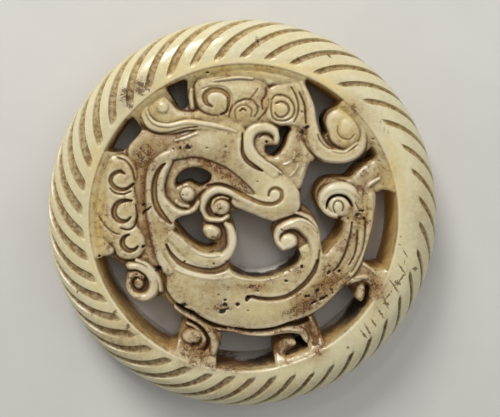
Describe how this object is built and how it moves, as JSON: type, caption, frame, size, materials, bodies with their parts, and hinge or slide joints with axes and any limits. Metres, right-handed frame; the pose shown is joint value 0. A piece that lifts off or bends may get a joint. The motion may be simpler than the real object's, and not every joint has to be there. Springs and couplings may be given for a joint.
{
  "type": "jade pendant",
  "caption": "Round openwork jade pendant: a pierced scroll carving inside a rope-twist ring.",
  "frame": {"origin": "centre of the disc, on the surface that its back lies on", "axes": "+Z out of the carved face, +Y towards the top of the carving, +X to its right"},
  "size_m": [0.058, 0.058, 0.0105],
  "materials": {
    "jade": "polished, with brown dirt in the cuts"
  },
  "bodies": {
    "root": {"pendant": "jade"}
  },
  "joints": []
}
